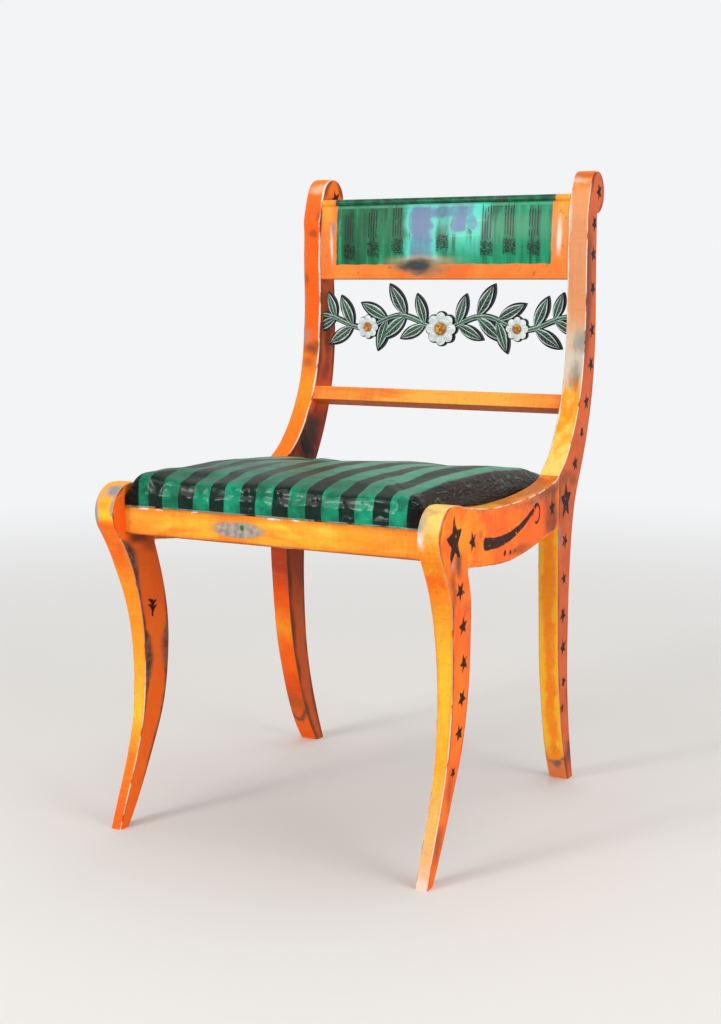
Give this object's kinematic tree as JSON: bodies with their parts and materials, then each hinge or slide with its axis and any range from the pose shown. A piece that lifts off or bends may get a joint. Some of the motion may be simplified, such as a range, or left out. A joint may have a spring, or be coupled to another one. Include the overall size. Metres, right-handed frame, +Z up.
{
  "type": "side chair",
  "caption": "Side chair with curved sabre legs, scrolled posts, a solid crest rail, a pierced vine ornament in the back and an upholstered seat between the side rails.",
  "frame": {"origin": "on the floor, under the middle of the frame's box", "axes": "+X to the right of someone facing the chair, +Y from its front to its back, +Z up"},
  "size_m": [0.4708, 0.556, 0.836],
  "materials": {
    "frame_paint": "worn orange paint on hardwood, with pale and grey rubbed edges",
    "ornament_paint": "dark green paint with silvery edges on thin board",
    "bare_wood": "bare hardwood",
    "plywood": "bare plywood",
    "foam": "cut polyurethane foam",
    "vinyl": "glossy vinyl with green and black bands",
    "black_cloth": "thin black dust cloth",
    "steel": "plain steel"
  },
  "bodies": {
    "root": {"right_front_leg": "frame_paint", "left_front_leg": "frame_paint", "right_side_rail": "frame_paint", "left_side_rail": "frame_paint", "right_post": "frame_paint", "left_post": "frame_paint", "front_rail": "frame_paint", "rear_rail": "frame_paint", "crest_rail": "frame_paint", "mid_rail": "frame_paint", "ornament": "ornament_paint", "right_front_corner_block": "bare_wood", "left_front_corner_block": "bare_wood", "right_rear_corner_block": "bare_wood", "left_rear_corner_block": "bare_wood", "seat_board": "plywood", "seat_foam": "foam", "seat_cover": "vinyl", "dust_cover": "black_cloth", "side_rail_front_dowels": "bare_wood", "side_rail_rear_dowels": "bare_wood", "front_rail_dowels": "bare_wood", "rear_rail_dowels": "bare_wood", "crest_dowels": "bare_wood", "mid_rail_dowels": "bare_wood", "ornament_pins": "steel", "block_screws": "steel", "seat_screws": "steel", "cover_tacks": "steel"}
  },
  "joints": []
}
